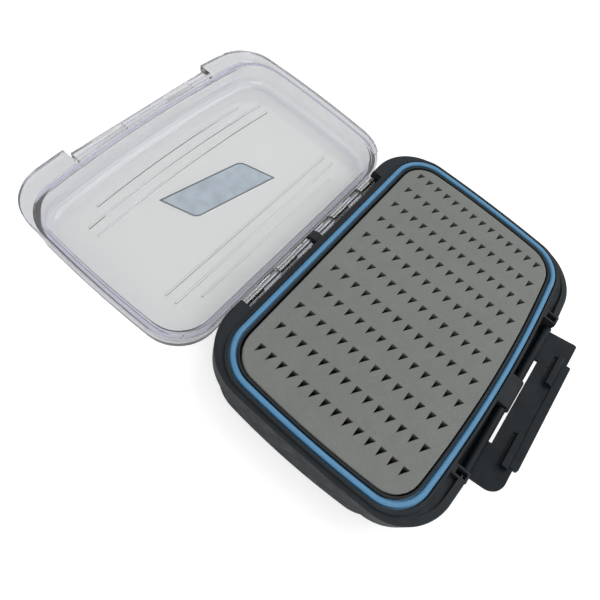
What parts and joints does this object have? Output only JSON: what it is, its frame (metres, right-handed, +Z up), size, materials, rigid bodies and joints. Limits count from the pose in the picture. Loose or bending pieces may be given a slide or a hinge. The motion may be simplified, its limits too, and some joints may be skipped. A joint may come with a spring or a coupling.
{
  "type": "fly box",
  "caption": "Flat fly box drawn open: dark base with slotted foam and a blue seal, clear ribbed lid on rear hinge pins, hooked latch plate along the front.",
  "frame": {"origin": "on the surface the base stands on, below the middle of the foam's length and of the seal's width", "axes": "X along the hinge, Y from the latch to the hinge and the open lid, Z up"},
  "size_m": [0.1584, 0.2336, 0.0308],
  "materials": {
    "base_plastic": "fine moulded texture, dark charcoal",
    "board": "plain black sheet",
    "adhesive": "thin adhesive sheet",
    "foam": "closed cell foam, grey, cut slots",
    "silicone": "soft blue seal, satin",
    "clear_plastic": "clear polished plastic",
    "badge_plate": "pale satin plate, blank",
    "steel": "drawn wire",
    "latch_plastic": "fine moulded texture, near black"
  },
  "bodies": {
    "base": {"base_tray": "base_plastic", "insert_plate": "board", "foam_adhesive": "adhesive", "foam_pad": "foam", "gasket": "silicone", "hinge_pin_left": "steel", "hinge_pin_right": "steel", "latch_pin_left": "steel", "latch_pin_right": "steel"},
    "lid": {"lid": "clear_plastic", "badge": "badge_plate"},
    "latch": {"latch": "latch_plastic"}
  },
  "joints": [
    {"name": "lid_hinge", "type": "hinge", "parent": "base", "child": "lid", "pos_m": [0, 0.054, 0.02255], "axis": [1, 0, 0], "range_deg": [0, 180]},
    {"name": "latch_hinge", "type": "hinge", "parent": "base", "child": "latch", "pos_m": [0, -0.0533, 0.0242], "axis": [1, 0, 0], "range_deg": [-74, 43]}
  ]
}
